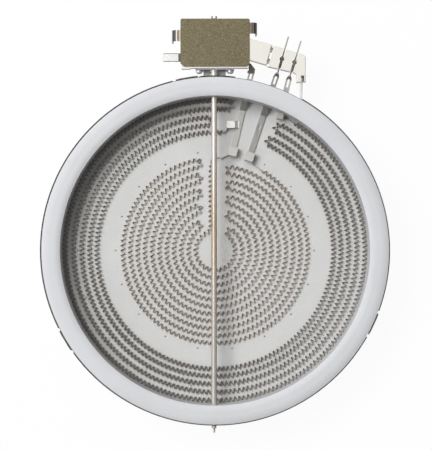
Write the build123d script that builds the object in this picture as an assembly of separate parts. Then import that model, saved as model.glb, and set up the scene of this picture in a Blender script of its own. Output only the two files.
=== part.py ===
from build123d import *
import math
import os

os.makedirs("parts", exist_ok=True)

# All sizes are millimetres. The origin is the centre of the pan's flat bottom,
# Z points up to the glass, Y points to the limiter head.

# Pan
pan_radius = 100.0
pan_sheet = 0.6
pan_top = 29.0
pan_corner = 2.0
bead_radius = 60.0
bead_width = 4.0
bead_depth = 0.8
window_start = 60.1
window_end = 83.3
window_low = 12.0
hook_angles = (99.3, 211.1, 335.1)
hook_half_angle = 3.7
hook_gap_angle = 1.0
hook_offset = 1.3
hook_low = 20.0
hook_window_share = 0.6
hook_window_half_angle = 0.6
hook_window_edge = 0.25
wall_hole_room = 0.1

# Insulation
floor_radius = 99.1
floor_top = 13.0
ring_outer = 99.2
ring_inner = 88.4
ring_top = 32.0
ring_crown_width = 4.2
ring_crown_drop = 0.9
ring_slope_width = 3.6
ring_slope_drop = 1.0
ring_slot_overrun = 6.0
tube_room = 0.3
bead_clearance = 0.1
pin_hole_radius = 0.45
pin_hole_depth = 1.5
middle_pin_circle = 57.6
outer_pin_circle = 79.7
pin_step = 20
middle_pin_skipped = (80,)
outer_pin_skipped = (80,)

# Heating ribbons
ribbon_sheet = 0.2
ribbon_top = 14.7
ribbon_face_steps = 20
inner_first_row = 53.65
inner_row_step = 4.22
inner_rows = 11
inner_start_angle = 61.0
inner_left_turn_x = 10.5
inner_right_turn_x = 8.7
inner_last_angle = 120.0
inner_wave = 2.88
inner_swing = 1.1
run_x = -2.6
run_low = 14.0
run_high = 51.0
run_bend = 2.5
outer_row_radii = (86.9, 82.1, 77.4, 72.9, 68.7)
outer_start_angle = 59.0
outer_left_turns = (84.9, 93.2)
outer_right_turns = (62.3, 63.2)
outer_last_angle = 85.5
outer_wave = 2.59
outer_swing = 1.3
inner_lead_in = [(21.25, 50.9), (22.0, 49.9), (23.6, 48.8), (25.2, 47.9)]
inner_lead_out = [(-2.4, 52.3), (-1.2, 53.8), (1.75, 54.0), (3.5, 53.2), (5.6, 54.5), (7.5, 55.1)]
outer_lead_in = [(39.8, 76.7), (41.2, 76.6), (42.6, 75.9), (44.0, 75.0)]
outer_lead_out = [(6.6, 69.6), (7.2, 71.0), (7.9, 72.4)]

# Terminal strips
strip_sheet = 0.8
strip_width = 3.3
strip_low = 18.0
strip_high = strip_low + strip_sheet
strip_middle = strip_low + strip_sheet / 2
strip_gap = 0.3
lying_high = floor_top + strip_sheet
slope_shift = 0.3
common_inner = (9.75, 55.0)
common_bend = (19.9, 98.0)
common_slope = (27.3, 32.4)
common_outer = (21.4, 103.4)
inner_zone_inner = (19.2, 52.0)
inner_zone_flat_end = (35.2, 99.9)
inner_zone_slope = (27.8, 33.0)
inner_zone_blade_start = (36.4, 103.0)
inner_zone_tip = (42.23, 122.82)
outer_zone_inner = (37.3, 76.2)
outer_zone_flat_end = (42.5, 98.2)
outer_zone_blade_start = (43.5, 101.4)
outer_zone_tip = (49.42, 120.33)
blade_height = 6.3
blade_rise = 2.3
blade_low = strip_middle + blade_rise - blade_height / 2
blade_high = blade_low + blade_height
slot_floor = blade_low - blade_rise
blade_full_after = 3.0
blade_swell = 0.95
blade_swell_share = 0.317
eye_width = 1.2
eye_length = 3.2
common_eye = 17.8
common_outer_eye = 2.6
inner_zone_eye = 20.6
neck_eye = 1.7
neck_eye_length = 4.8
neck_waist = 0.3
twist_sections = 5
loop_sizes = ((5.2, 5.0), (5.2, 5.0), (4.2, 2.8))
loop_overhang = 0.15
loop_wall = 0.6
loop_height = 4.4
clip_sheet = 0.6
clip_low = 16.2
clip_left = 6.8
clip_bend = 11.2
clip_foot = 13.0
clip_right = 14.2
clip_slope_shift = 0.3
clip_y = (71.0, 75.0)

# Terminal block and its bracket
block_low = 12.0
block_shelf = 26.8
block_high = 30.2
block_outline = (
    (20.0, 121.0), (50.2, 111.95), (51.7, 110.6), (51.7, 96.0), (46.4, 95.8),
    (46.4, 100.6), (44.8, 101.4), (29.75, 104.95), (29.15, 105.75), (20.0, 108.4),
)
block_foot_outline = (
    (22.4, 112.2), (22.4, 117.4), (48.2, 109.9), (51.4, 108.0), (51.4, 97.6),
    (47.8, 97.6), (47.8, 103.2), (31.4, 107.8),
)
block_edge = 0.4
slot_width = 1.5
swell_pocket = 1.35
spare_slot_start = (29.6, 105.0)
spare_slot_end = (33.4, 119.0)
spare_slot_depth = 0.8
spare_window_shares = (0.11, 0.58)
spare_window = 3.0
spare_window_floor = 0.6
slot_overrun = 4.0
foot_slit = (49.1, 50.9, 95.5, 99.9)
bracket_sheet = 0.8
web_outline = (
    (23.0, 112.6), (23.0, 117.0), (48.0, 109.5), (50.4, 107.8), (50.4, 97.8),
    (48.2, 97.8), (48.2, 103.6), (31.6, 108.2),
)
rivet_room = 0.2
flange_low = 4.0
flange_start = 59.6
flange_end = 82.0
blade_x = 49.6
blade_y_start = 84.0
blade_y_end = 99.6
bracket_blade_top = 22.0
block_rivet_spots = ((29.5, 112.2), (43.5, 107.9))
block_rivet_radius = 1.5
block_rivet_head = 2.5
block_rivet_top = 14.6

# Limiter: rod, tube and head
axis_x = -0.5
axis_z = 25.0
tube_radius = 1.6
tube_bore = 1.3
tube_end_radius = 1.4
tube_end_bore = 0.75
tube_end_start = -98.4
tube_end = -101.8
tube_head_end = 106.0
rod_radius = 1.0
rod_low = -97.0
rod_high = 109.4
pin_radius = 0.7
pin_end = -104.4
pin_chamfer = 0.2
ferrule_radius = 2.0
ferrule_bore = 1.65
ferrule_start = 98.0
collar_radius = 2.7
collar_length = 0.9
limiter_plate = 0.8
limiter_plate_y = 103.3
limiter_plate_x = (-11.0, 10.8)
limiter_plate_low = 15.0
limiter_flange_low = 6.0
limiter_flange_half_angle = 5.2
limiter_web_x = (-6.6, 6.2)
limiter_web_high = 22.0
limiter_rivet_x = (-9.06, 8.76)
limiter_rivet_z = 25.0
limiter_rivet_radius = 1.2
limiter_rivet_head = 2.0
limiter_rivet_depth = 2.6
limiter_rivet_rise = 2.0
limiter_rivet_dome = 1.4
head_x = (-19.1, 19.25)
head_y = (104.1, 132.0)
head_low = 14.0
head_high = 29.6
head_edge = 0.4
pocket_x = (-16.6, 16.75)
pocket_y = (107.0, 128.6)
pocket_low = 18.8
foot_x = (-19.1, -13.9)
foot_y = 103.6
head_step_x = (-11.2, 11.0)
head_step_in = 1.5
head_step_high = 25.4
cover_sheet = 0.6
cover_x = (-19.7, 19.85)
cover_y = (105.0, 132.3)
cover_corner = 1.0
cover_cut = 2.0
cover_cut_rise = 1.7
tongue_length = 8.0
left_tongue_y = (114.4, 118.4)
right_tongue_y = (113.0, 118.0)
dimple_spot = (-11.4, 107.0)
dimple_radius = 0.8
dimple_depth = 0.25

# Contacts inside the head
arm_sheet = 0.5
arm_low = 22.5
arm_high = 27.5
limiter_arm_y = 112.0
signal_arm_y = 118.0
limiter_pivot_x = -13.0
signal_pivot_x = 12.0
eye_radius = 1.5
pivot_radius = 0.8
pivot_clearance = 0.05
pivot_top = 27.8
limiter_contact_x = 9.0
signal_contact_x = -9.0
arm_past_contact = 1.6
arm_hole_room = 0.5
contact_head_radius = 1.5
contact_head = 0.75
contact_shank_radius = 0.7
contact_tail_radius = 1.1
contact_tail = 0.3
contact_gap = 0.1
signal_travel = 1.8
leg_sheet = 0.8
push_gap = 0.3
plunger_radius = 2.0
plunger_low = 108.2
nose_radius = 1.0
stem_radius = 0.65
stem_end = 120.3
seat_radius = 2.2
seat_sheet = 0.8
spring_wire = 0.3
spring_radius = 1.6
spring_turns = 4.5
screw_radius = 1.7
screw_low = 126.4
screw_high = 134.3
screw_slot = 1.5
screw_slot_depth = 1.3
tab_sheet = 0.8
tab_low = 28.0
tab_high = tab_low + tab_sheet
tab_wide = 6.3
tab_narrow = 4.8
tab_fold = 3.2
tab_bottom = 16.0
supply_tab_y = 127.1
supply_tab_x = 24.07
signal_tab_y = 122.8
signal_tab_x = -24.7
flat_tab_y = 110.25
flat_tab_end = -30.0
bus_high = pocket_low + tab_sheet
bus_half = 2.0
bus_corner_x = 13.2
bus_front = 107.4
bus_back = 110.4
bus_lug = ((18.6, 102.3), (22.7, 102.3), (23.2, 104.5), (20.6, 107.9), (13.2, 107.9))
bus_return = ((13.2, 105.2), (19.5, 105.2), (19.5, 103.9), (18.9, 103.9))
bus_way_x = 13.0
bus_way_y = (105.1, 108.0)
bus_room = 0.1
tab_lap = 0.5
tab_room = 0.3
limiter_leg_x = (7.0, 11.0)
signal_leg_x = (-11.0, -7.0)
signal_wall_room = 0.2
signal_bus_y = (121.0, 124.6)
flat_tab_corner = 0.8
flat_tab_edge = 0.35


def block(x_low, x_high, y_low, y_high, z_low, z_high):
    solid = Box(x_high - x_low, y_high - y_low, z_high - z_low)
    return Pos((x_low + x_high) / 2, (y_low + y_high) / 2, (z_low + z_high) / 2) * solid


def post(x, y, radius, z_low, z_high):
    return Pos(x, y, (z_low + z_high) / 2) * Cylinder(radius, z_high - z_low)


def bar(x, z, radius, y_low, y_high):
    return Pos(x, (y_low + y_high) / 2, z) * Rot(90, 0, 0) * Cylinder(radius, y_high - y_low)


def axis_bar(radius, y_low, y_high):
    return bar(axis_x, axis_z, radius, y_low, y_high)


def plate(points, z_low, z_high):
    outline = make_face(Polyline(*points, close=True))
    return Pos(0, 0, z_low) * extrude(outline, amount=z_high - z_low, dir=(0, 0, 1))


def on_circle(radius, angle):
    return (radius * math.cos(math.radians(angle)), radius * math.sin(math.radians(angle)))


def sector(inner, outer, start, end, z_low, z_high):
    reach = outer * 2
    wedge = plate(
        ((0, 0), on_circle(reach, start), on_circle(reach, (start + end) / 2), on_circle(reach, end)),
        z_low, z_high,
    )
    return (post(0, 0, outer, z_low, z_high) - post(0, 0, inner, z_low, z_high)) & wedge


def strip(start, end, width, z_low, z_high):
    run = (end[0] - start[0], end[1] - start[1])
    turn = math.degrees(math.atan2(run[1], run[0]))
    middle = Pos((start[0] + end[0]) / 2, (start[1] + end[1]) / 2, (z_low + z_high) / 2)
    return middle * Rot(0, 0, turn) * Box(math.hypot(*run), width, z_high - z_low)


def along(start, end, distance):
    length = math.hypot(end[0] - start[0], end[1] - start[1])
    share = distance / length
    return (start[0] + (end[0] - start[0]) * share, start[1] + (end[1] - start[1]) * share)


def distance_between(start, end):
    return math.hypot(end[0] - start[0], end[1] - start[1])


# Ribbon paths: arcs, U-turns and straight runs as close points along the middle line
def arc_points(radius, start, end):
    count = max(8, int(abs(end - start) * 2))
    return [on_circle(radius, start + (end - start) * i / count) for i in range(count + 1)]


def turn_points(first_radius, second_radius, angle, towards):
    middle_radius = (first_radius + second_radius) / 2
    half = (first_radius - second_radius) / 2
    points = []
    for i in range(1, 12):
        swing = math.pi * i / 12
        radius = middle_radius + half * math.cos(swing)
        shift = math.degrees(abs(half) * math.sin(swing) / middle_radius)
        points.append(on_circle(radius, angle + towards * shift))
    return points


def curve_points(start, control, end):
    points = []
    for i in range(1, 16):
        t = i / 15
        x = (1 - t) ** 2 * start[0] + 2 * t * (1 - t) * control[0] + t ** 2 * end[0]
        y = (1 - t) ** 2 * start[1] + 2 * t * (1 - t) * control[1] + t ** 2 * end[1]
        points.append((x, y))
    return points


def zigzag(path, wave, swing):
    lengths = [0.0]
    for first, second in zip(path, path[1:]):
        lengths.append(lengths[-1] + distance_between(first, second))
    count = int(lengths[-1] / (wave / 2))
    points = []
    place = 0
    for k in range(count + 1):
        at = lengths[-1] * k / count
        while place < len(path) - 2 and lengths[place + 1] < at:
            place += 1
        span = lengths[place + 1] - lengths[place]
        share = (at - lengths[place]) / span
        dx = (path[place + 1][0] - path[place][0]) / span
        dy = (path[place + 1][1] - path[place][1]) / span
        x = path[place][0] + dx * span * share
        y = path[place][1] + dy * span * share
        side = swing if k % 2 else -swing
        if k in (0, count):
            side = 0.0
        points.append((x - dy * side, y + dx * side))
    return points


def ribbon_side(points, offset):
    side = []
    for i, point in enumerate(points):
        before = points[max(i - 1, 0)]
        after = points[min(i + 1, len(points) - 1)]
        normals = []
        for first, second in ((before, point), (point, after)):
            length = distance_between(first, second)
            if length > 0:
                normals.append(((first[1] - second[1]) / length, (second[0] - first[0]) / length))
        nx = sum(n[0] for n in normals)
        ny = sum(n[1] for n in normals)
        square = nx * nx + ny * ny
        scale = 2 * offset / square if len(normals) == 2 else offset
        side.append((point[0] + nx * scale, point[1] + ny * scale))
    return side


def flat_face(corners):
    return Face(Wire.make_polygon([Vector(*corner) for corner in corners], close=True))


def ribbon(points):
    left = ribbon_side(points, ribbon_sheet / 2)
    right = ribbon_side(points, -ribbon_sheet / 2)
    last = len(points) - 1
    faces = []
    for side in (left, right):
        for first, second in zip(side, side[1:]):
            faces.append(flat_face(((*first, floor_top), (*second, floor_top),
                                    (*second, ribbon_top), (*first, ribbon_top))))
    for start in range(0, last, ribbon_face_steps):
        end = min(start + ribbon_face_steps, last)
        outline = left[start:end + 1] + right[start:end + 1][::-1]
        for z in (floor_top, ribbon_top):
            faces.append(flat_face([(*point, z) for point in outline]))
    for place in (0, last):
        faces.append(flat_face(((*left[place], floor_top), (*right[place], floor_top),
                                (*right[place], ribbon_top), (*left[place], ribbon_top))))
    return Solid(Shell(faces))


# Base pan
pan = post(0, 0, pan_radius, 0, pan_top)
pan = fillet(pan.edges().sort_by(Axis.Z)[0], pan_corner)
pan_inside = post(0, 0, pan_radius - pan_sheet, pan_sheet, pan_top + 1)
pan_inside = fillet(pan_inside.edges().sort_by(Axis.Z)[0], pan_corner - pan_sheet)
pan = pan - pan_inside
bead_in = bead_radius - bead_width / 2
bead_out = bead_radius + bead_width / 2
pan = pan + (
    post(0, 0, bead_out + pan_sheet, pan_sheet, pan_sheet + bead_depth)
    - post(0, 0, bead_in - pan_sheet, pan_sheet, pan_sheet + bead_depth)
)
pan = pan - (post(0, 0, bead_out, 0, bead_depth) - post(0, 0, bead_in, 0, bead_depth))
pan = pan - sector(pan_radius - 2, pan_radius + 2, window_start, window_end, window_low, pan_top + 1)
pan = pan - axis_bar(ferrule_radius + wall_hole_room, pan_radius - 3, pan_radius + 2)
pan = pan - axis_bar(tube_end_radius + wall_hole_room, -pan_radius - 2, -pan_radius + 3)
hook_out = pan_radius + hook_offset
hook_height = pan_top - hook_low
upright = (Align.CENTER, Align.CENTER, Align.MIN)
flare = Cone(hook_out, pan_radius, hook_height, align=upright)
flare = flare - Cone(hook_out - pan_sheet, pan_radius - pan_sheet, hook_height, align=upright)
flare = Pos(0, 0, hook_low) * flare
for angle in hook_angles:
    start = angle - hook_half_angle
    end = angle + hook_half_angle
    pan = pan - sector(
        pan_radius - 2, pan_radius + 2, start - hook_gap_angle, end + hook_gap_angle, hook_low, pan_top + 1
    )
    hook = flare & sector(pan_radius - 2, pan_radius + 2, start, end, hook_low, pan_top)
    hook = hook + sector(pan_radius - pan_sheet, hook_out, start, end, hook_low - pan_sheet, hook_low)
    for side in (-1, 1):
        middle = angle + side * hook_half_angle * hook_window_share
        hook = hook - sector(
            pan_radius + hook_window_edge, hook_out - hook_window_edge,
            middle - hook_window_half_angle, middle + hook_window_half_angle, hook_low - 1, pan_top + 1
        )
    pan = pan + hook
export_step(pan, "parts/base_pan.step")

# Insulation floor
board = post(0, 0, floor_radius, pan_sheet, floor_top)
board = chamfer(board.edges().sort_by(Axis.Z)[0], pan_corner)
bead_room = pan_sheet + bead_clearance
board = board - (
    post(0, 0, bead_out + bead_room, pan_sheet, pan_sheet + bead_depth)
    - post(0, 0, bead_in - bead_room, pan_sheet, pan_sheet + bead_depth)
)
for circle, skipped in ((middle_pin_circle, middle_pin_skipped), (outer_pin_circle, outer_pin_skipped)):
    for angle in range(0, 360, pin_step):
        if angle not in skipped:
            spot = on_circle(circle, angle)
            board = board - post(spot[0], spot[1], pin_hole_radius, floor_top - pin_hole_depth, floor_top + 1)
export_step(board, "parts/insulation_floor.step")

# Insulation ring
def rounded_edge(start, end, level, drop):
    width = abs(end - start)
    radius = (width ** 2 + drop ** 2) / (2 * drop)
    sag = radius - math.sqrt(radius ** 2 - (width / 2) ** 2)
    return ThreePointArc((start, 0, level), ((start + end) / 2, 0, level - sag), (end, 0, level - drop))


crown_start = ring_outer - ring_crown_width
slope_start = ring_inner + ring_slope_width
ring_outline = [
    rounded_edge(crown_start, ring_outer, ring_top, ring_crown_drop),
    Line((crown_start, 0, ring_top), (slope_start, 0, ring_top)),
    rounded_edge(slope_start, ring_inner, ring_top, ring_slope_drop),
    Polyline((ring_inner, 0, ring_top - ring_slope_drop), (ring_inner, 0, floor_top),
             (ring_outer, 0, floor_top), (ring_outer, 0, ring_top - ring_crown_drop)),
]
ring = revolve(make_face(ring_outline), axis=Axis.Z)
strip_lines = (
    (common_inner, common_bend),
    (inner_zone_inner, inner_zone_flat_end),
    (outer_zone_inner, outer_zone_flat_end),
)
for start, end in strip_lines:
    ring = ring - strip(start, along(start, end, distance_between(start, end) + ring_slot_overrun),
                        strip_width + 2 * strip_gap, strip_low - strip_gap, strip_high + strip_gap)
ring = ring - axis_bar(tube_radius + tube_room, -ring_outer - 2, ring_outer + 2)
ring = ring - axis_bar(ferrule_radius + tube_room, ferrule_start - tube_room, ring_outer + 2)
export_step(ring, "parts/insulation_ring.step")

# Inner heating ribbon: rows joined left and right in turn, then the run up the middle
inner_path = []
row_start = inner_start_angle
for row in range(inner_rows):
    radius = inner_first_row - inner_row_step * row
    next_radius = radius - inner_row_step
    middle = (radius + next_radius) / 2
    if row == inner_rows - 1:
        row_end = inner_last_angle - 360
        inner_path += arc_points(radius, row_start, row_end)
    elif row % 2 == 0:
        row_end = 90 + math.degrees(math.asin(inner_left_turn_x / middle)) - 360
        inner_path += arc_points(radius, row_start, row_end)
        inner_path += turn_points(radius, next_radius, row_end, -1)
    else:
        row_end = 90 - math.degrees(math.asin(inner_right_turn_x / middle))
        inner_path += arc_points(radius, row_start, row_end)
        inner_path += turn_points(radius, next_radius, row_end, 1)
    row_start = row_end
inner_path += curve_points(inner_path[-1], (run_x, run_low - run_bend), (run_x, run_low))
inner_path += [(run_x, run_low + (run_high - run_low) * i / 40) for i in range(1, 41)]
inner_points = inner_lead_in + zigzag(inner_path, inner_wave, inner_swing) + inner_lead_out
export_step(ribbon(inner_points), "parts/inner_heating_ribbon.step")

# Outer heating ribbon
outer_path = []
row_start = outer_start_angle
turns = (outer_left_turns[0], outer_right_turns[0], outer_left_turns[1], outer_right_turns[1])
for row, radius in enumerate(outer_row_radii):
    if row == len(outer_row_radii) - 1:
        outer_path += arc_points(radius, row_start, outer_last_angle - 360)
    elif row % 2 == 0:
        row_end = turns[row] - 360
        outer_path += arc_points(radius, row_start, row_end)
        outer_path += turn_points(radius, outer_row_radii[row + 1], row_end, -1)
    else:
        row_end = turns[row]
        outer_path += arc_points(radius, row_start, row_end)
        outer_path += turn_points(radius, outer_row_radii[row + 1], row_end, 1)
    row_start = row_end
outer_points = outer_lead_in + zigzag(outer_path, outer_wave, outer_swing) + outer_lead_out
export_step(ribbon(outer_points), "parts/outer_heating_ribbon.step")


# Terminal strips
def eye_slot(start, end, distance, length=eye_length):
    low = along(start, end, distance - length / 2)
    high = along(start, end, distance + length / 2)
    return strip(low, high, eye_width, floor_top - 1, strip_high + 1)


def sloping_strip(start, end, slope):
    length = distance_between(start, end)
    run = ((end[0] - start[0]) / length, (end[1] - start[1]) / length)
    side = Plane((start[0], start[1], 0), x_dir=(run[0], run[1], 0), z_dir=(run[1], -run[0], 0))
    profile = Polyline(
        (0, floor_top), (slope[0], floor_top), (slope[1], strip_low), (length, strip_low),
        (length, strip_high), (slope[1] - slope_shift, strip_high), (slope[0] - slope_shift, lying_high),
        (0, lying_high), close=True,
    )
    return extrude(side * make_face(profile), amount=strip_width / 2, both=True)


common = sloping_strip(common_inner, common_bend, common_slope)
common = common + post(common_bend[0], common_bend[1], strip_width / 2, strip_low, strip_high)
common = common + strip(common_bend, common_outer, strip_width, strip_low, strip_high)
common = common - eye_slot(common_inner, common_bend, common_eye)
common = common - eye_slot(common_bend, common_outer, common_outer_eye)
export_step(common, "parts/common_strip.step")


def zone_strip(flat, inner, flat_end, blade_start, tip, eyes):
    shape = flat
    run = (blade_start[0] - flat_end[0], blade_start[1] - flat_end[1], 0)
    across = (-run[1], run[0], 0)
    sections = []
    for i in range(twist_sections):
        share = i / (twist_sections - 1)
        spot = (flat_end[0] + run[0] * share, flat_end[1] + run[1] * share, strip_middle)
        width = strip_width - neck_waist * math.sin(math.pi * share)
        section = Rectangle(width, strip_sheet, rotation=90 * share)
        sections.append(Plane(spot, x_dir=across, z_dir=run) * section)
    shape = shape + loft(sections)
    for distance in eyes:
        shape = shape - eye_slot(inner, flat_end, distance)
    neck_distance = distance_between(inner, flat_end) - neck_eye
    shape = shape - eye_slot(inner, flat_end, neck_distance, neck_eye_length)
    half_width = strip_width / 2
    full_start = along(blade_start, tip, blade_full_after)
    shape = shape + strip(blade_start, full_start, strip_sheet,
                          strip_middle - half_width, strip_middle + half_width)
    shape = shape + strip(full_start, tip, strip_sheet, blade_low, blade_high)
    swell = along(blade_start, tip, distance_between(blade_start, tip) * blade_swell_share)
    return shape + post(swell[0], swell[1], blade_swell, blade_low, blade_high)


inner_flat = sloping_strip(inner_zone_inner, inner_zone_flat_end, inner_zone_slope)
inner_zone = zone_strip(inner_flat, inner_zone_inner, inner_zone_flat_end, inner_zone_blade_start,
                        inner_zone_tip, (inner_zone_eye,))
export_step(inner_zone, "parts/inner_zone_strip.step")
outer_flat = strip(outer_zone_inner, outer_zone_flat_end, strip_width, strip_low, strip_high)
outer_zone = zone_strip(outer_flat, outer_zone_inner, outer_zone_flat_end, outer_zone_blade_start,
                        outer_zone_tip, ())
export_step(outer_zone, "parts/outer_zone_strip.step")

# Weld loops at the strip ends, where the ribbon tails are joined
loops = []
loop_heights = (
    (lying_high, lying_high + loop_height), (lying_high, lying_high + loop_height), (floor_top, strip_low),
)
for (start, end), (width, length), (low, high) in zip(strip_lines, loop_sizes, loop_heights):
    loop = strip(along(start, end, -loop_overhang), along(start, end, length), width, low, high)
    room = strip(along(start, end, -loop_overhang - 1), along(start, end, length + 1),
                 width - 2 * loop_wall, low + loop_wall, high - loop_wall)
    loops.append(loop - room)
export_step(Compound(children=loops), "parts/weld_loops.step")

# Clip on the common strip for the outer ribbon's end: foot, slope, raised tongue with a turned-down lip
clip_high = clip_low + clip_sheet
lip_right = clip_left + clip_sheet
foot_high = lying_high + clip_sheet
clip_profile = Polyline(
    (clip_left, 0, ribbon_top), (lip_right, 0, ribbon_top), (lip_right, 0, clip_low),
    (clip_bend, 0, clip_low), (clip_foot, 0, lying_high), (clip_right, 0, lying_high),
    (clip_right, 0, foot_high), (clip_foot + clip_slope_shift, 0, foot_high),
    (clip_bend + clip_slope_shift, 0, clip_high),
    (clip_left, 0, clip_high), close=True,
)
clip = extrude(make_face(clip_profile), amount=clip_y[1] - clip_y[0], dir=(0, 1, 0))
clip = Pos(0, clip_y[0], 0) * clip
export_step(clip, "parts/outer_end_clip.step")

# Terminal block: slab with the slots on a narrower foot
ceramic = plate(block_outline, block_shelf, block_high)
ceramic = chamfer(ceramic.faces().sort_by(Axis.Z)[-1].edges(), block_edge)
ceramic = ceramic + plate(block_foot_outline, block_low, block_shelf)
for start, tip in ((inner_zone_blade_start, inner_zone_tip), (outer_zone_blade_start, outer_zone_tip)):
    ceramic = ceramic - strip(along(start, tip, -slot_overrun), tip, slot_width, slot_floor, block_high + 1)
    swell = along(start, tip, distance_between(start, tip) * blade_swell_share)
    ceramic = ceramic - post(swell[0], swell[1], swell_pocket, slot_floor, block_high + 1)
spare_length = distance_between(spare_slot_start, spare_slot_end)
ceramic = ceramic - strip(spare_slot_start, spare_slot_end, slot_width,
                          block_high - spare_slot_depth, block_high + 1)
for share in spare_window_shares:
    start = along(spare_slot_start, spare_slot_end, spare_length * share)
    end = along(spare_slot_start, spare_slot_end, spare_length * share + spare_window)
    ceramic = ceramic - strip(start, end, slot_width, block_shelf + spare_window_floor, block_high + 1)
ceramic = ceramic - block(*foot_slit, block_low - 1, block_high + 1)
for spot in block_rivet_spots:
    ceramic = ceramic - post(*spot, block_rivet_radius, block_low - 1, block_rivet_top + rivet_room)
export_step(ceramic, "parts/terminal_block.step")

# Block bracket: flange on the pan wall, upright blade, level web under the foot
bracket = plate(web_outline, block_low - bracket_sheet, block_low)
bracket = bracket + block(blade_x, blade_x + bracket_sheet, blade_y_start, blade_y_end,
                          flange_low, bracket_blade_top)
bracket = bracket - post(0, 0, pan_radius, 0, pan_top)
bracket = bracket + sector(pan_radius, pan_radius + bracket_sheet, flange_start, flange_end,
                           flange_low, block_low)
for spot in block_rivet_spots:
    bracket = bracket - post(spot[0], spot[1], block_rivet_radius, 0, pan_top)
export_step(bracket, "parts/block_bracket.step")

block_rivets = []
for spot in block_rivet_spots:
    shank = post(spot[0], spot[1], block_rivet_radius, block_low - bracket_sheet, block_rivet_top)
    head = post(spot[0], spot[1], block_rivet_head, block_low - 2 * bracket_sheet, block_low - bracket_sheet)
    block_rivets.append(shank + head)
export_step(Compound(children=block_rivets), "parts/block_rivets.step")

# Sensor tube with its drawn-in end, the ceramic rod inside it and the end pin
tube = axis_bar(tube_radius, tube_end_start, tube_head_end)
tube = tube + axis_bar(tube_end_radius, tube_end, tube_end_start)
tube = tube - axis_bar(tube_bore, tube_end_start, tube_head_end + 1)
tube = tube - axis_bar(tube_end_bore, tube_end - 1, tube_end_start + 1)
export_step(tube, "parts/sensor_tube.step")
export_step(axis_bar(rod_radius, rod_low, rod_high), "parts/expansion_rod.step")
end_pin = axis_bar(pin_radius, pin_end, rod_low)
end_pin = chamfer(end_pin.edges().sort_by(Axis.Y)[0], pin_chamfer)
export_step(end_pin, "parts/tube_end_pin.step")

ferrule = axis_bar(ferrule_radius, ferrule_start, limiter_plate_y)
ferrule = ferrule + axis_bar(collar_radius, limiter_plate_y - collar_length, limiter_plate_y)
ferrule = ferrule - axis_bar(ferrule_bore, ferrule_start - 1, limiter_plate_y + 1)
export_step(ferrule, "parts/tube_ferrule.step")

# Limiter bracket: flange on the pan wall, web, upright plate on the head
holder = block(*limiter_plate_x, limiter_plate_y, limiter_plate_y + limiter_plate, limiter_plate_low, pan_top)
holder = holder + block(*limiter_web_x, pan_radius - 2, limiter_plate_y + limiter_plate,
                        limiter_web_high - limiter_plate, limiter_web_high)
holder = holder - post(0, 0, pan_radius, 0, pan_top)
holder = holder + sector(pan_radius, pan_radius + limiter_plate, 90 - limiter_flange_half_angle,
                         90 + limiter_flange_half_angle, limiter_flange_low, limiter_web_high)
holder = holder - axis_bar(ferrule_bore, limiter_plate_y - 1, head_y[0] + 1)
for x in limiter_rivet_x:
    holder = holder - bar(x, limiter_rivet_z, limiter_rivet_radius, limiter_plate_y - 1, head_y[0] + 1)
export_step(holder, "parts/limiter_bracket.step")

holder_rivets = []
for x in limiter_rivet_x:
    head = bar(x, limiter_rivet_z, limiter_rivet_head, limiter_plate_y - limiter_rivet_rise, limiter_plate_y)
    head = fillet(head.edges().sort_by(Axis.Y)[0], limiter_rivet_dome)
    shank = bar(x, limiter_rivet_z, limiter_rivet_radius, limiter_plate_y, head_y[0] + limiter_rivet_depth)
    holder_rivets.append(head + shank)
export_step(Compound(children=holder_rivets), "parts/bracket_rivets.step")

# Head base with its pocket and the openings for rod, screw, rivets and tabs
base = block(*head_x, *head_y, head_low, head_high)
base = chamfer(base.edges().filter_by(Axis.Z), head_edge)
base = base + block(*foot_x, foot_y, head_y[0] + 1, head_low, head_high)
step_y = (foot_y - 1, head_y[0] + head_step_in)
base = base - block(head_x[0] - 1, head_step_x[0], *step_y, head_low - 1, head_step_high)
base = base - block(head_step_x[1], head_x[1] + 1, *step_y, head_low - 1, head_step_high)
base = base - block(*pocket_x, *pocket_y, pocket_low, head_high + 1)
base = base - axis_bar(ferrule_bore, head_y[0] - 1, tube_head_end)
base = base - axis_bar(tube_bore, head_y[0] - 1, pocket_y[0] + 1)
base = base - axis_bar(screw_radius, pocket_y[1] - 1, head_y[1] + 1)
for x in limiter_rivet_x:
    base = base - bar(x, limiter_rivet_z, limiter_rivet_radius, head_y[0] - 1,
                      head_y[0] + limiter_rivet_depth)
supply_y = (supply_tab_y - tab_wide / 2, supply_tab_y + tab_wide / 2)
signal_y = (signal_tab_y - tab_wide / 2, signal_tab_y + tab_wide / 2)
flat_y = (flat_tab_y - tab_narrow / 2, flat_tab_y + tab_narrow / 2)
base = base - block(pocket_x[1] - 1, head_x[1] + 1, *supply_y, tab_low, head_high + 1)
base = base - block(head_x[0] - 1, pocket_x[0] + 1, *signal_y, tab_low, head_high + 1)
base = base - block(head_x[0] - 1, pocket_x[0] + 1, *flat_y, tab_low, head_high + 1)
base = base - block(bus_way_x, head_x[1] + 1, *bus_way_y, pocket_low, bus_high + bus_room)
export_step(base, "parts/head_base.step")

# Head cover: plate with folded tongues and a pressed dimple
cover = plate(
    ((cover_x[0] + cover_cut, cover_y[0]), (cover_x[1] - cover_cut, cover_y[0]),
     (cover_x[1], cover_y[0] + cover_cut_rise), (cover_x[1], cover_y[1]),
     (cover_x[0], cover_y[1]), (cover_x[0], cover_y[0] + cover_cut_rise)),
    head_high, head_high + cover_sheet,
)
back_corners = cover.edges().filter_by(Axis.Z).sort_by(Axis.Y)[-2:]
cover = fillet(back_corners, cover_corner)
cover_high = head_high + cover_sheet
tongue_low = head_high - tongue_length
cover = cover + block(cover_x[0], head_x[0], *left_tongue_y, tongue_low, cover_high)
cover = cover + block(head_x[1], cover_x[1], *right_tongue_y, tongue_low, cover_high)
cover = cover - post(*dimple_spot, dimple_radius, cover_high - dimple_depth, cover_high + 1)
export_step(cover, "parts/head_cover.step")


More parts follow.
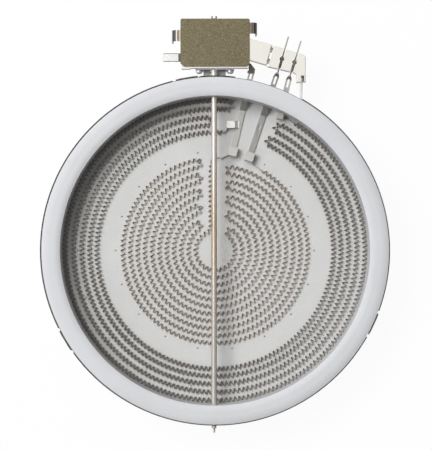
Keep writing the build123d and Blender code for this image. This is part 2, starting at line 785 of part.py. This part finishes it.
# Contact arms with rolled eyes, contacts, pins
def contact_arm(pivot_x, y, contact_x, hole_radius):
    reach = contact_x + math.copysign(arm_past_contact, contact_x)
    low = min(pivot_x, reach)
    high = max(pivot_x, reach)
    arm = block(low, high, y - arm_sheet / 2, y + arm_sheet / 2, arm_low, arm_high)
    arm = arm + post(pivot_x, y, eye_radius, arm_low, arm_high)
    arm = arm - post(pivot_x, y, pivot_radius + pivot_clearance, arm_low - 1, arm_high + 1)
    arm = arm - bar(axis_x, axis_z, hole_radius, y - 1, y + 1)
    return arm - bar(contact_x, axis_z, contact_shank_radius, y - 1, y + 1)


def contact_rivet(x, face_y, towards, depth):
    ends = sorted((face_y, face_y + towards * contact_head))
    head = bar(x, axis_z, contact_head_radius, *ends)
    ends = sorted((face_y, face_y - towards * depth))
    shank = bar(x, axis_z, contact_shank_radius, *ends)
    ends = sorted((face_y - towards * depth, face_y - towards * (depth + contact_tail)))
    return head + shank + bar(x, axis_z, contact_tail_radius, *ends)


half_arm = arm_sheet / 2
limiter_arm = contact_arm(limiter_pivot_x, limiter_arm_y, limiter_contact_x, nose_radius + arm_hole_room)
export_step(limiter_arm, "parts/limiter_arm.step")
limiter_moving = contact_rivet(limiter_contact_x, limiter_arm_y + half_arm, 1, arm_sheet)
export_step(limiter_moving, "parts/limiter_arm_contact.step")
limiter_leg_y = limiter_arm_y + half_arm + 2 * contact_head + contact_gap
limiter_fixed = contact_rivet(limiter_contact_x, limiter_leg_y, -1, leg_sheet)
export_step(limiter_fixed, "parts/limiter_fixed_contact.step")
signal_arm = contact_arm(signal_pivot_x, signal_arm_y, signal_contact_x, stem_radius + arm_hole_room)
export_step(signal_arm, "parts/signal_arm.step")
signal_moving = contact_rivet(signal_contact_x, signal_arm_y - half_arm, -1, arm_sheet)
export_step(signal_moving, "parts/signal_arm_contact.step")
signal_leg_y = signal_arm_y - half_arm - 2 * contact_head - contact_gap - signal_travel
signal_fixed = contact_rivet(signal_contact_x, signal_leg_y, 1, leg_sheet)
export_step(signal_fixed, "parts/signal_fixed_contact.step")
limiter_pin = post(limiter_pivot_x, limiter_arm_y, pivot_radius, bus_high, pivot_top)
export_step(limiter_pin, "parts/limiter_pivot_pin.step")
signal_pin = post(signal_pivot_x, signal_arm_y, pivot_radius, bus_high, pivot_top)
export_step(signal_pin, "parts/signal_pivot_pin.step")

# Plunger on the rod, spring seat, spring and calibration screw, all on one axis
first_shoulder = limiter_arm_y - half_arm - push_gap
second_shoulder = signal_arm_y - half_arm - push_gap
plunger = axis_bar(plunger_radius, plunger_low, first_shoulder)
plunger = plunger + axis_bar(nose_radius, first_shoulder, second_shoulder)
plunger = plunger + axis_bar(stem_radius, second_shoulder, stem_end)
plunger = plunger - axis_bar(rod_radius, plunger_low - 1, rod_high)
export_step(plunger, "parts/plunger.step")
seat = axis_bar(seat_radius, stem_end - seat_sheet, stem_end)
seat = seat - axis_bar(stem_radius, stem_end - 2, stem_end + 1)
export_step(seat, "parts/spring_seat.step")
coil_height = screw_low - stem_end - 2 * spring_wire
coil = Helix(pitch=coil_height / spring_turns, height=coil_height, radius=spring_radius)
coil_section = Plane(origin=coil @ 0, z_dir=coil % 0) * Circle(spring_wire)
spring = sweep(coil_section, path=coil, is_frenet=True)
spring = Pos(axis_x, stem_end + spring_wire, axis_z) * Rot(-90, 0, 0) * spring
export_step(spring, "parts/return_spring.step")
screw = axis_bar(screw_radius, screw_low, screw_high)
screw = screw - block(axis_x - screw_slot / 2, axis_x + screw_slot / 2,
                      screw_high - screw_slot_depth, screw_high + 1, axis_z - 3, axis_z + 3)
export_step(screw, "parts/calibration_screw.step")


# Head tabs
def folded_tab(outer_x, root_x, y_range):
    side = math.copysign(1, outer_x)
    bend_x = outer_x - side * tab_fold
    bend_z = tab_high - tab_fold
    level = block(*sorted((root_x, bend_x)), *y_range, tab_low, tab_high)
    drop = block(*sorted((outer_x - side * tab_sheet, outer_x)), *y_range, tab_bottom, bend_z)
    bend = bar(bend_x, bend_z, tab_fold, *y_range) - bar(bend_x, bend_z, tab_fold - tab_sheet, *y_range)
    bend = bend & block(*sorted((bend_x, outer_x)), *y_range, bend_z, tab_high)
    return level + bend + drop


supply = folded_tab(supply_tab_x, pocket_x[1] - tab_lap, supply_y)
supply = supply + block(limiter_leg_x[0], pocket_x[1], supply_y[0], pocket_y[1] - tab_room, tab_low, tab_high)
supply = supply + block(*limiter_leg_x, limiter_leg_y, supply_y[0] + 1, tab_low, tab_high)
supply = supply + block(*limiter_leg_x, limiter_leg_y, limiter_leg_y + leg_sheet, arm_low, tab_high)
supply = supply - bar(limiter_contact_x, axis_z, contact_shank_radius, limiter_leg_y - 1, limiter_leg_y + 2)
export_step(supply, "parts/limiter_supply_tab.step")

signal_root = pocket_x[0] + signal_wall_room
signal = folded_tab(signal_tab_x, signal_root, signal_y)
signal = signal + block(signal_root, signal_root + tab_sheet, *signal_y, pocket_low, tab_high)
signal = signal + block(signal_root, signal_pivot_x - bus_half, *signal_bus_y, pocket_low, bus_high)
signal = signal + block(signal_pivot_x - bus_half, signal_pivot_x + bus_half,
                        signal_arm_y - bus_half, signal_bus_y[1], pocket_low, bus_high)
export_step(signal, "parts/signal_arm_tab.step")

flat = block(flat_tab_end, signal_leg_x[1], *flat_y, tab_low, tab_high)
flat = flat + block(*signal_leg_x, flat_y[0], signal_leg_y, tab_low, tab_high)
flat = flat + block(*signal_leg_x, signal_leg_y - leg_sheet, signal_leg_y, arm_low, tab_high)
flat = flat - bar(signal_contact_x, axis_z, contact_shank_radius, signal_leg_y - 2, signal_leg_y + 1)
flat = chamfer(flat.edges().filter_by(Axis.Z).sort_by(Axis.X)[:2], flat_tab_corner)
long_edges = [edge for edge in flat.edges().filter_by(Axis.X)
              if edge.center().Z > tab_high - 0.01 and edge.center().X < head_x[0]]
flat = chamfer(long_edges, flat_tab_edge)
export_step(flat, "parts/signal_contact_tab.step")

bus_end = limiter_arm_y + bus_half
bus_left = limiter_pivot_x - bus_half
bus_right = limiter_pivot_x + bus_half
bus = plate(
    bus_lug + ((bus_corner_x, bus_back), (bus_right, bus_back), (bus_right, bus_end), (bus_left, bus_end),
               (bus_left, bus_front), (bus_corner_x, bus_front)) + bus_return,
    pocket_low, bus_high,
)
export_step(bus, "parts/limiter_bus.step")
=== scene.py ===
import math
import random

import bpy
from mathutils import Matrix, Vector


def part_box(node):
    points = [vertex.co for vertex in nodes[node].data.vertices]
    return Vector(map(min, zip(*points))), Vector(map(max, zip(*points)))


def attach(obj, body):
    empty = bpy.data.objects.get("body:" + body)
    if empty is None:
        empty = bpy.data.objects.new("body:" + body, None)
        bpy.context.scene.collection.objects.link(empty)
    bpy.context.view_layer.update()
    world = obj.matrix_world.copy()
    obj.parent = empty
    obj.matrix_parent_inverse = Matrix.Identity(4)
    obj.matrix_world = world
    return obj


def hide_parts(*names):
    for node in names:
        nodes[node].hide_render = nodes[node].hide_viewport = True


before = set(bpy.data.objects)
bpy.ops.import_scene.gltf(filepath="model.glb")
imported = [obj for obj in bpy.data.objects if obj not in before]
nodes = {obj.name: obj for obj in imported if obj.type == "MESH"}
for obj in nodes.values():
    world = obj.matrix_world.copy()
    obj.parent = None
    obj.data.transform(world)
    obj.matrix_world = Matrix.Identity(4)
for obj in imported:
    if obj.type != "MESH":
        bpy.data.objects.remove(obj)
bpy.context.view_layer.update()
MM = 0.001

# Heights and sizes taken from the frame, in metres
floor_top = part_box("insulation_floor")[1][2]
rim_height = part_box("base_pan")[1][2]
pan_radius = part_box("base_pan")[1][0]
ring_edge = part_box("insulation_ring")[1][0]
cover_half_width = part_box("head_cover")[1][0]

# Places where a colour changes
flat_tab_middle = 110.25 * MM
flat_tab_half = 2.4 * MM
inner_zone_edge = 60.0 * MM
outer_zone_edge = 64.0 * MM
tint_start, tint_end = -60.0 * MM, 70.0 * MM
# Direction and spans of the painted light and shade on the pan's rim and the ring's outer edge
painted_light_turn = math.radians(-35.0)
painted_rim_light_start, painted_rim_light_end = -20.0 * MM, 70.0 * MM
gap_shade_start, gap_shade_end = 60.0 * MM, -30.0 * MM

# Grain of the metals: how fast the streaks change along x, y and z
strip_grain = (700.0, 60.0, 700.0)
sheet_grain = (500.0, 40.0, 500.0)
small_part_grain = (500.0, 500.0, 500.0)
fastener_grain = (400.0, 400.0, 400.0)

# Ribbon heaters, in millimetres and degrees
ribbon_thickness = 0.18
inner_wave, inner_swing, inner_seed = 2.88, 1.22, 3
outer_wave, outer_swing, outer_seed = 2.59, 1.42, 5
wave_samples = 10
swing_unevenness = 0.05
phase_unevenness = 0.02
turn_steps = 12
curve_steps = 15
run_steps = 40

# White floor and dim surroundings
floor_reach = 3.0
floor_level = -0.2 * MM
floor_white_share = 0.95
world_strength = 0.03

# Photograph frame in pixels and where the pan lies in it
image_width = 432
image_height = 450
pan_centre_px = (214.99, 250.53)
pan_radius_px = 175.12
camera_distance = 0.924
sensor_size = 36.0


# Material helpers
def new_material(name):
    material = bpy.data.materials.new(name)
    material.use_nodes = True
    tree = material.node_tree
    shader = tree.nodes["Principled BSDF"]
    return material, tree, shader


def add(tree, kind, **values):
    node = tree.nodes.new(kind)
    for key, value in values.items():
        if key.startswith("in_"):
            node.inputs[key[3:].replace("_", " ")].default_value = value
        else:
            setattr(node, key, value)
    return node


def position(tree, stretch=(1.0, 1.0, 1.0)):
    coordinates = add(tree, "ShaderNodeTexCoord")
    mapping = add(tree, "ShaderNodeMapping")
    mapping.inputs["Scale"].default_value = stretch
    tree.links.new(coordinates.outputs["Object"], mapping.inputs["Vector"])
    return mapping.outputs["Vector"]


def noise(tree, vector, scale, detail=3.0, roughness=0.55):
    node = add(tree, "ShaderNodeTexNoise", in_Scale=scale, in_Detail=detail, in_Roughness=roughness)
    tree.links.new(vector, node.inputs["Vector"])
    return node.outputs["Fac"]


def ramp(tree, value, stops):
    node = add(tree, "ShaderNodeValToRGB")
    elements = node.color_ramp.elements
    while len(elements) < len(stops):
        elements.new(0.5)
    for element, (place, colour) in zip(elements, stops):
        element.position = place
        element.color = (*colour, 1.0)
    tree.links.new(value, node.inputs["Fac"])
    return node.outputs["Color"]


def spread(tree, value, low, high, out_low=0.0, out_high=1.0):
    node = add(tree, "ShaderNodeMapRange", clamp=True)
    node.inputs["From Min"].default_value = low
    node.inputs["From Max"].default_value = high
    node.inputs["To Min"].default_value = out_low
    node.inputs["To Max"].default_value = out_high
    tree.links.new(value, node.inputs["Value"])
    return node.outputs["Result"]


def blend_colours(tree, share, first, second):
    node = add(tree, "ShaderNodeMix", data_type="RGBA")
    tree.links.new(share, node.inputs[0])
    for socket, colour in ((node.inputs[6], first), (node.inputs[7], second)):
        if isinstance(colour, tuple):
            socket.default_value = (*colour, 1.0)
        else:
            tree.links.new(colour, socket)
    return node.outputs[2]


def bump(tree, shader, height, distance, strength=1.0):
    node = add(tree, "ShaderNodeBump", in_Strength=strength, in_Distance=distance)
    tree.links.new(height, node.inputs["Height"])
    tree.links.new(node.outputs["Normal"], shader.inputs["Normal"])


def along_axis(tree, axis):
    split = add(tree, "ShaderNodeSeparateXYZ")
    tree.links.new(position(tree), split.inputs["Vector"])
    return split.outputs[axis]


def height_above(tree, low, high):
    return spread(tree, along_axis(tree, "Z"), low, high)


def away_from(tree, axis, middle):
    shifted = add(tree, "ShaderNodeMath", operation="SUBTRACT")
    tree.links.new(along_axis(tree, axis), shifted.inputs[0])
    shifted.inputs[1].default_value = middle
    size = add(tree, "ShaderNodeMath", operation="ABSOLUTE")
    tree.links.new(shifted.outputs[0], size.inputs[0])
    return size.outputs[0]


def from_centre(tree):
    length = add(tree, "ShaderNodeVectorMath", operation="LENGTH")
    tree.links.new(position(tree, (1.0, 1.0, 0.0)), length.inputs[0])
    return length.outputs["Value"]


def product(tree, first, second):
    node = add(tree, "ShaderNodeMath", operation="MULTIPLY")
    tree.links.new(first, node.inputs[0])
    tree.links.new(second, node.inputs[1])
    return node.outputs[0]


def along_direction(tree, direction, start, end):
    along = add(tree, "ShaderNodeVectorMath", operation="DOT_PRODUCT")
    tree.links.new(position(tree), along.inputs[0])
    along.inputs[1].default_value = (math.cos(direction), math.sin(direction), 0.0)
    return spread(tree, along.outputs["Value"], start, end)


def either_ray(tree, first, second):
    rays = add(tree, "ShaderNodeLightPath")
    seen = add(tree, "ShaderNodeMath", operation="ADD", use_clamp=True)
    tree.links.new(rays.outputs[first], seen.inputs[0])
    tree.links.new(rays.outputs[second], seen.inputs[1])
    return seen.outputs[0]


def recolour(tree, shader, share, colour):
    plain = shader.inputs["Base Color"].links[0].from_socket
    tree.links.new(blend_colours(tree, share, plain, colour), shader.inputs["Base Color"])


def shade(value, factor):
    return tuple(channel * factor for channel in value)


def metal(name, colour, roughness, grain=(60.0, 60.0, 900.0), contrast=0.12, metallic=1.0):
    material, tree, shader = new_material(name)
    streaks = noise(tree, position(tree, grain), 1.0, 4.0)
    stops = ((0.3, shade(colour, 1 - contrast)), (0.7, shade(colour, 1 + contrast)))
    tree.links.new(ramp(tree, streaks, stops), shader.inputs["Base Color"])
    dullness = spread(tree, streaks, 0.25, 0.75, roughness - 0.08, roughness + 0.1)
    tree.links.new(dullness, shader.inputs["Roughness"])
    shader.inputs["Metallic"].default_value = metallic
    bump(tree, shader, streaks, 0.00002)
    return material, tree, shader


def pressed_fibre(name, colour, grain_scale, grain_depth, patch=0.03):
    material, tree, shader = new_material(name)
    where = position(tree)
    patches = noise(tree, where, 45.0, 4.0)
    stops = ((0.3, shade(colour, 1 - patch)), (0.7, shade(colour, 1 + patch)))
    tree.links.new(ramp(tree, patches, stops), shader.inputs["Base Color"])
    shader.inputs["Roughness"].default_value = 0.95
    shader.inputs["Specular IOR Level"].default_value = 0.15
    bump(tree, shader, noise(tree, where, grain_scale, 5.0, 0.65), grain_depth)
    return material, tree, shader


# Materials
pan_steel, tree, shader = metal("pan_steel", (0.42, 0.415, 0.41), 0.5, (40.0, 40.0, 1400.0), 0.12, 0.45)
# Painted shade: the top edge of the pan's wall is painted as a dark line, standing in for the shade in
# the gap between ring and pan
near_top = height_above(tree, rim_height - 0.5 * MM, rim_height - 0.1 * MM)
on_rim = spread(tree, from_centre(tree), pan_radius + 0.05 * MM, pan_radius + 0.15 * MM, 1.0, 0.0)
painted_rim_shade = product(tree, near_top, on_rim)
recolour(tree, shader, painted_rim_shade, (0.045, 0.043, 0.04))
# Painted light: the dark rim line is painted lighter towards the lower right and darker towards the
# upper left, as light and shade on the rounded edge
rim_light_share = along_direction(tree, painted_light_turn, painted_rim_light_start, painted_rim_light_end)
painted_rim_light = product(tree, painted_rim_shade, rim_light_share)
recolour(tree, shader, painted_rim_light, (0.17, 0.165, 0.16))

bracket_steel = metal("bracket_steel", (0.31, 0.32, 0.33), 0.34, sheet_grain)[0]
plate_steel = metal("plate_steel", (0.84, 0.84, 0.85), 0.3, sheet_grain, 0.03)[0]
floor_board = pressed_fibre("floor_board", (0.655, 0.655, 0.65), 1500.0, 0.00015)[0]
ring_board, tree, shader = pressed_fibre("ring_board", (0.700, 0.706, 0.726), 1100.0, 0.00010, 0.02)
# Painted shade: the ring's outer edge is painted dark, more so towards the upper left, standing in for
# the shadow in the gap between ring and pan
at_wall = spread(tree, from_centre(tree), ring_edge - 0.4 * MM, ring_edge - 0.2 * MM)
gap_shade_share = along_direction(tree, painted_light_turn, gap_shade_start, gap_shade_end)
painted_gap_shade = product(tree, at_wall, gap_shade_share)
recolour(tree, shader, painted_gap_shade, (0.12, 0.118, 0.115))

heater_colour = (0.34, 0.275, 0.195)
heater_grain = (300.0, 300.0, 300.0)
heater_alloy, tree, shader = metal("heater_alloy", heater_colour, 0.45, heater_grain, 0.2, 0.5)
# Painted shade: the outer ribbon is painted darker than the inner one, standing in for the heavier
# shadow among its waves
outer_zone = spread(tree, from_centre(tree), inner_zone_edge, outer_zone_edge)
recolour(tree, shader, outer_zone, (0.205, 0.17, 0.123))
strip_steel = metal("strip_steel", (0.50, 0.487, 0.455), 0.36, strip_grain, 0.08, 0.6)[0]
dull_strip_steel = metal("dull_strip_steel", (0.35, 0.345, 0.325), 0.36, strip_grain, 0.08, 0.35)[0]
bus_metal = metal("bus_metal", (0.24, 0.225, 0.20), 0.4, strip_grain, 0.1)[0]
screw_metal = metal("screw_metal", (0.34, 0.25, 0.16), 0.4, fastener_grain, 0.1, 0.7)[0]
flat_tab_metal, tree, shader = metal("flat_tab_metal", (0.93, 0.93, 0.92), 0.2, (60.0, 15.0, 60.0), 0.02)
# Painted reflection: dark lines along the tab's long edges stand in for the dark reflection off their
# chamfers
off_middle = away_from(tree, "Y", flat_tab_middle)
painted_edge_shade = spread(tree, off_middle, flat_tab_half - 0.5 * MM, flat_tab_half - 0.3 * MM)
recolour(tree, shader, painted_edge_shade, (0.20, 0.20, 0.195))
# Painted shade: the tab's end next to the cover is painted dark, standing in for the shaded bend down
# into the head
off_axis = away_from(tree, "X", 0.0)
painted_bend_shade = spread(tree, off_axis, cover_half_width + 0.9 * MM, cover_half_width + 1.3 * MM, 1.0, 0.0)
recolour(tree, shader, painted_bend_shade, (0.15, 0.145, 0.13))
clip_metal = metal("clip_metal", (0.80, 0.79, 0.76), 0.4, small_part_grain, 0.06, 0.6)[0]
loop_metal = metal("loop_metal", (0.54, 0.53, 0.495), 0.4, small_part_grain, 0.06, 0.6)[0]
tab_metal, tree, shader = metal("tab_metal", (0.46, 0.45, 0.43), 0.5, strip_grain, 0.1)
# Painted light and shade: bands across the folded tabs, counted out from the cover, are a painted brown
# reflection of the cover, a painted highlight line and a painted dark fold
from_cover = spread(tree, away_from(tree, "X", 0.0), cover_half_width, cover_half_width + 5.0 * MM)
painted_bend_light_stops = ((0.15, (0.50, 0.44, 0.36)), (0.19, (0.22, 0.16, 0.10)), (0.34, (0.22, 0.16, 0.10)),
              (0.38, (0.50, 0.49, 0.47)), (0.45, (0.50, 0.49, 0.47)), (0.49, (0.13, 0.13, 0.125)),
              (0.84, (0.13, 0.13, 0.125)), (0.92, (0.46, 0.45, 0.43)))
tree.links.new(ramp(tree, from_cover, painted_bend_light_stops), shader.inputs["Base Color"])
spring_steel = metal("spring_steel", (0.50, 0.49, 0.46), 0.3)[0]
contact_brass = metal("contact_brass", (0.70, 0.58, 0.32), 0.3)[0]
fastener_steel = metal("fastener_steel", (0.88, 0.88, 0.88), 0.42, fastener_grain, 0.04, 0.5)[0]
steatite = pressed_fibre("steatite", (0.855, 0.838, 0.772), 900.0, 0.00003, 0.01)[0]
rod_ceramic = pressed_fibre("rod_ceramic", (0.85, 0.84, 0.80), 900.0, 0.00003, 0.015)[0]

tube_steel, tree, shader = metal("tube_steel", (0.56, 0.52, 0.47), 0.34, (900.0, 20.0, 900.0), 0.06, 0.4)
along = spread(tree, along_axis(tree, "Y"), tint_start, tint_end)
tint_stops = ((0.0, (0.56, 0.525, 0.48)), (0.3, (0.58, 0.52, 0.455)), (0.5, (0.59, 0.485, 0.365)),
              (0.6, (0.585, 0.47, 0.345)), (0.7, (0.65, 0.56, 0.47)), (0.88, (0.74, 0.68, 0.62)))
tree.links.new(ramp(tree, along, tint_stops), shader.inputs["Base Color"])

cover_bronze, tree, shader = new_material("cover_bronze")
where = position(tree)
mottle = noise(tree, where, 1300.0, 3.0, 0.7)
stops = ((0.32, (0.098, 0.079, 0.038)), (0.5, (0.17, 0.14, 0.075)), (0.7, (0.265, 0.225, 0.14)))
tree.links.new(ramp(tree, mottle, stops), shader.inputs["Base Color"])
shader.inputs["Metallic"].default_value = 0.35
shader.inputs["Roughness"].default_value = 0.5
bump(tree, shader, mottle, 0.00003)

materials = {
    "base_pan": pan_steel, "limiter_bracket": bracket_steel, "block_bracket": plate_steel,
    "insulation_floor": floor_board, "insulation_ring": ring_board,
    "inner_heating_ribbon": heater_alloy, "outer_heating_ribbon": heater_alloy,
    "common_strip": strip_steel, "inner_zone_strip": dull_strip_steel, "outer_zone_strip": strip_steel,
    "weld_loops": loop_metal, "outer_end_clip": clip_metal, "limiter_bus": bus_metal,
    "terminal_block": steatite, "head_base": steatite,
    "sensor_tube": tube_steel, "tube_ferrule": tube_steel, "tube_end_pin": tube_steel,
    "expansion_rod": rod_ceramic, "plunger": rod_ceramic, "head_cover": cover_bronze,
    "limiter_supply_tab": tab_metal, "signal_arm_tab": tab_metal, "signal_contact_tab": flat_tab_metal,
    "limiter_arm": spring_steel, "signal_arm": spring_steel, "return_spring": spring_steel,
    "spring_seat": spring_steel,
    "limiter_arm_contact": contact_brass, "limiter_fixed_contact": contact_brass,
    "signal_arm_contact": contact_brass, "signal_fixed_contact": contact_brass,
    "block_rivets": fastener_steel, "bracket_rivets": fastener_steel, "calibration_screw": screw_metal,
    "limiter_pivot_pin": fastener_steel, "signal_pivot_pin": fastener_steel,
}
for name, node in nodes.items():
    node.data.materials.clear()
    node.data.materials.append(materials[name])


# Ribbon heaters: the same rows and turns as the solids, with round, slightly uneven waves
def on_circle(radius, angle):
    return (radius * math.cos(math.radians(angle)), radius * math.sin(math.radians(angle)))


def arc_points(radius, start, end):
    count = max(8, int(abs(end - start) * 2))
    return [on_circle(radius, start + (end - start) * i / count) for i in range(count + 1)]


def turn_points(first_radius, second_radius, angle, towards):
    middle_radius = (first_radius + second_radius) / 2
    half = (first_radius - second_radius) / 2
    points = []
    for i in range(1, turn_steps):
        swing = math.pi * i / turn_steps
        radius = middle_radius + half * math.cos(swing)
        shift = math.degrees(abs(half) * math.sin(swing) / middle_radius)
        points.append(on_circle(radius, angle + towards * shift))
    return points


def curve_points(start, control, end):
    points = []
    for i in range(1, curve_steps + 1):
        t = i / curve_steps
        x = (1 - t) ** 2 * start[0] + 2 * t * (1 - t) * control[0] + t ** 2 * end[0]
        y = (1 - t) ** 2 * start[1] + 2 * t * (1 - t) * control[1] + t ** 2 * end[1]
        points.append((x, y))
    return points


def inner_path():
    first_row, row_step, rows = 53.65, 4.22, 11
    left_turn_x, right_turn_x = 10.5, 8.7
    first_row_start, last_row_end = 61.0, 120.0
    run_x, run_low, run_high, run_bend = -2.6, 14.0, 51.0, 2.5
    path = []
    row_start = first_row_start
    for row in range(rows):
        radius = first_row - row_step * row
        next_radius = radius - row_step
        middle = (radius + next_radius) / 2
        if row == rows - 1:
            row_end = last_row_end - 360
            path += arc_points(radius, row_start, row_end)
        elif row % 2 == 0:
            row_end = 90 + math.degrees(math.asin(left_turn_x / middle)) - 360
            path += arc_points(radius, row_start, row_end)
            path += turn_points(radius, next_radius, row_end, -1)
        else:
            row_end = 90 - math.degrees(math.asin(right_turn_x / middle))
            path += arc_points(radius, row_start, row_end)
            path += turn_points(radius, next_radius, row_end, 1)
        row_start = row_end
    path += curve_points(path[-1], (run_x, run_low - run_bend), (run_x, run_low))
    path += [(run_x, run_low + (run_high - run_low) * i / run_steps) for i in range(1, run_steps + 1)]
    return path


def outer_path():
    radii = (86.9, 82.1, 77.4, 72.9, 68.7)
    turns = (84.9, 62.3, 93.2, 63.2)
    first_row_start, last_row_end = 59.0, 85.5
    path = []
    row_start = first_row_start
    for row, radius in enumerate(radii):
        if row == len(radii) - 1:
            path += arc_points(radius, row_start, last_row_end - 360)
        elif row % 2 == 0:
            row_end = turns[row] - 360
            path += arc_points(radius, row_start, row_end)
            path += turn_points(radius, radii[row + 1], row_end, -1)
        else:
            row_end = turns[row]
            path += arc_points(radius, row_start, row_end)
            path += turn_points(radius, radii[row + 1], row_end, 1)
        row_start = row_end
    return path


def waves(path, wave, swing, seed):
    dice = random.Random(seed)
    lengths = [0.0]
    for first, second in zip(path, path[1:]):
        lengths.append(lengths[-1] + math.dist(first, second))
    count = int(lengths[-1] / wave)
    drift = [dice.gauss(0, 1) for _ in range(count + 3)]
    points = []
    place = 0
    steps = count * wave_samples
    for k in range(steps + 1):
        at = lengths[-1] * k / steps
        while place < len(path) - 2 and lengths[place + 1] < at:
            place += 1
        span = lengths[place + 1] - lengths[place]
        dx = (path[place + 1][0] - path[place][0]) / span
        dy = (path[place + 1][1] - path[place][1]) / span
        x = path[place][0] + dx * (at - lengths[place])
        y = path[place][1] + dy * (at - lengths[place])
        which, share = divmod(k / wave_samples, 1.0)
        which = int(which)
        uneven = drift[which] * (1 - share) + drift[which + 1] * share
        height = swing * (1 + swing_unevenness * uneven)
        fade = min(1.0, k / wave_samples, (steps - k) / wave_samples)
        phase = k / wave_samples + phase_unevenness * uneven
        side = height * fade * math.sin(2 * math.pi * phase)
        points.append((x - dy * side, y + dx * side))
    return points


def ribbon_mesh(name, points, low, high):
    vertices = []
    faces = []
    for i, point in enumerate(points):
        before = points[max(i - 1, 0)]
        after = points[min(i + 1, len(points) - 1)]
        length = math.dist(before, after)
        nx = -(after[1] - before[1]) / length * ribbon_thickness / 2
        ny = (after[0] - before[0]) / length * ribbon_thickness / 2
        for sign, z in ((1, low), (-1, low), (-1, high), (1, high)):
            vertices.append(((point[0] + sign * nx) * MM, (point[1] + sign * ny) * MM, z))
    for i in range(len(points) - 1):
        a = 4 * i
        b = a + 4
        for j in range(4):
            k = (j + 1) % 4
            faces.append((a + j, b + j, b + k, a + k))
    faces.append((0, 1, 2, 3))
    last = 4 * (len(points) - 1)
    faces.append((last + 3, last + 2, last + 1, last))
    mesh = bpy.data.meshes.new(name)
    mesh.from_pydata(vertices, [], faces)
    mesh.update()
    piece = bpy.data.objects.new(name, mesh)
    bpy.context.scene.collection.objects.link(piece)
    mesh.materials.append(heater_alloy)
    return piece


inner_ribbon_top = floor_top + 1.5 * MM
outer_ribbon_top = floor_top + 1.85 * MM
ribbon_low = floor_top - 0.1 * MM
inner_lead_in = [(21.25, 50.9), (22.0, 49.9), (23.6, 48.8), (25.2, 47.9)]
inner_lead_out = [(-2.4, 52.3), (-1.2, 53.8), (1.75, 54.0), (3.5, 53.2), (5.6, 54.5), (7.5, 55.1)]
inner_points = inner_lead_in + waves(inner_path(), inner_wave, inner_swing, inner_seed) + inner_lead_out
inner_piece = ribbon_mesh("inner_ribbon_wavy", inner_points, ribbon_low, inner_ribbon_top)
outer_lead_in = [(39.8, 76.7), (41.2, 76.6), (42.6, 75.9), (44.0, 75.0)]
outer_lead_out = [(6.6, 69.6), (7.2, 71.0), (7.9, 72.4)]
outer_points = outer_lead_in + waves(outer_path(), outer_wave, outer_swing, outer_seed) + outer_lead_out
outer_piece = ribbon_mesh("outer_ribbon_wavy", outer_points, ribbon_low, outer_ribbon_top)
for piece, node in ((inner_piece, "inner_heating_ribbon"), (outer_piece, "outer_heating_ribbon")):
    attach(piece, "heater")
    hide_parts(node)

# Floor: pale, seen as white, keeps the shadow
floor_mesh = bpy.data.meshes.new("floor")
corner_signs = ((-1, -1), (1, -1), (1, 1), (-1, 1))
floor_corners = [(floor_reach * x, floor_reach * y, floor_level) for x, y in corner_signs]
floor_mesh.from_pydata(floor_corners, [], [(0, 1, 2, 3)])
floor = bpy.data.objects.new("floor", floor_mesh)
bpy.context.scene.collection.objects.link(floor)
floor_material, tree, shader = new_material("floor_white")
shader.inputs["Base Color"].default_value = (0.93, 0.93, 0.93, 1.0)
shader.inputs["Roughness"].default_value = 0.9
glow = add(tree, "ShaderNodeEmission", in_Strength=1.0)
seen = either_ray(tree, "Is Camera Ray", "Is Glossy Ray")
white_share = spread(tree, seen, 0.0, 1.0, 0.0, floor_white_share)
mixed = add(tree, "ShaderNodeMixShader")
tree.links.new(white_share, mixed.inputs[0])
tree.links.new(shader.outputs[0], mixed.inputs[1])
tree.links.new(glow.outputs[0], mixed.inputs[2])
tree.links.new(mixed.outputs[0], tree.nodes["Material Output"].inputs["Surface"])
floor_mesh.materials.append(floor_material)

# World: dim fill, white where it is seen
world = bpy.data.worlds.new("studio")
bpy.context.scene.world = world
world.use_nodes = True
tree = world.node_tree
background = tree.nodes["Background"]
background.inputs["Color"].default_value = (1.0, 1.0, 1.0, 1.0)
seen = either_ray(tree, "Is Camera Ray", "Is Transmission Ray")
strength = spread(tree, seen, 0.0, 1.0, world_strength, 1.0)
tree.links.new(strength, background.inputs["Strength"])


# Lamps: a broad key from the upper left, one on each side of it, weak ones above and at the right
def lamp(name, place, power, size):
    data = bpy.data.lights.new(name, "AREA")
    data.shape = "DISK"
    data.size = size
    data.energy = power
    lamp_object = bpy.data.objects.new(name, data)
    bpy.context.scene.collection.objects.link(lamp_object)
    lamp_object.location = place
    x, y, z = place
    tilt = math.atan2(math.hypot(x, y), z)
    turn = math.atan2(y, x)
    lamp_object.rotation_euler = (0, tilt, turn)
    return lamp_object


def lamp_place(distance, tilt, turn):
    tilt = math.radians(tilt)
    turn = math.radians(turn)
    flat = distance * math.sin(tilt)
    return (flat * math.cos(turn), flat * math.sin(turn), distance * math.cos(tilt))


light_turn = 147.0
lamp("key", lamp_place(2.5, 34.0, light_turn), 49.8, 1.5)
side_spread = 55.0
lamp("side_left", lamp_place(2.6, 50.0, light_turn + side_spread), 13.0, 1.5)
lamp("side_back", lamp_place(2.6, 50.0, light_turn - side_spread), 13.0, 1.5)
lamp("fill", (0.0, 0.0, 1.7), 1.7, 0.8)
lamp("card", lamp_place(2.0, 44.0, -3.0), 1.7, 0.72)

# Camera straight above, framed as in the photograph
camera_data = bpy.data.cameras.new("camera")
camera_data.sensor_width = sensor_size
pixels_per_metre = pan_radius_px / pan_radius
camera_data.lens = pixels_per_metre * camera_distance * sensor_size / image_height
camera_data.shift_x = (image_width / 2 - pan_centre_px[0]) / image_height
camera_data.shift_y = (pan_centre_px[1] - image_height / 2) / image_height
camera = bpy.data.objects.new("camera", camera_data)
camera.location = (0.0, 0.0, rim_height + camera_distance)
bpy.context.scene.collection.objects.link(camera)
bpy.context.scene.camera = camera
bpy.context.scene.view_settings.view_transform = "Standard"
